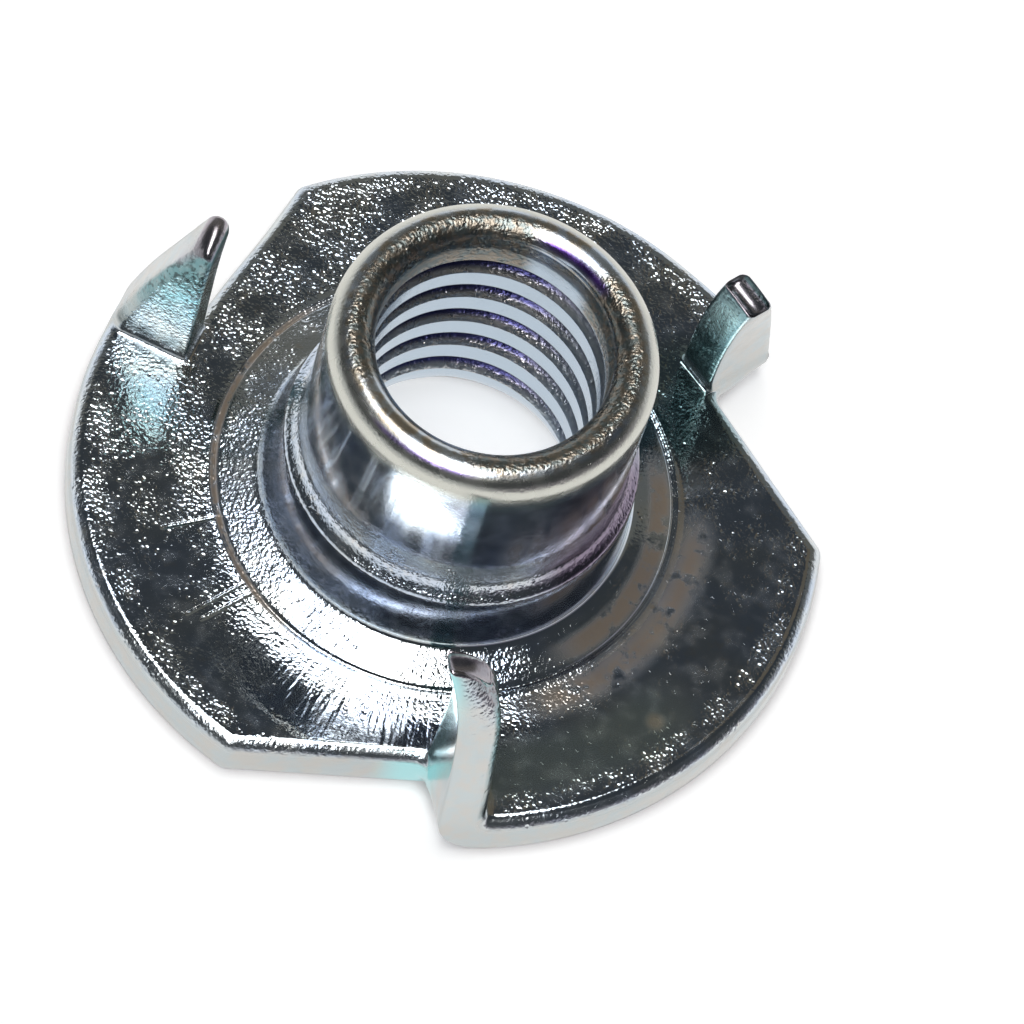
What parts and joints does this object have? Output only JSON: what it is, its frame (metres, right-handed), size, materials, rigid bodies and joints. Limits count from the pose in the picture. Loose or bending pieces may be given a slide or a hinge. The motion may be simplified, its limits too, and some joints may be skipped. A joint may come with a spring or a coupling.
{
  "type": "tee nut",
  "caption": "Pronged tee nut pressed from sheet steel: a round flange with folded prongs and a threaded barrel, for fixing a bolt in wood.",
  "frame": {"origin": "on the bore's axis, in the plane of the flange's underside", "axes": "+Z along the bore, from the flange up the barrel; -Y is the front, with the first prong's fold line at -68 degrees about +Z"},
  "size_m": [0.0222, 0.0219, 0.01],
  "materials": {
    "zinc_steel": "bright zinc plate, pitted"
  },
  "bodies": {
    "root": {"tee_nut": "zinc_steel"}
  },
  "joints": []
}
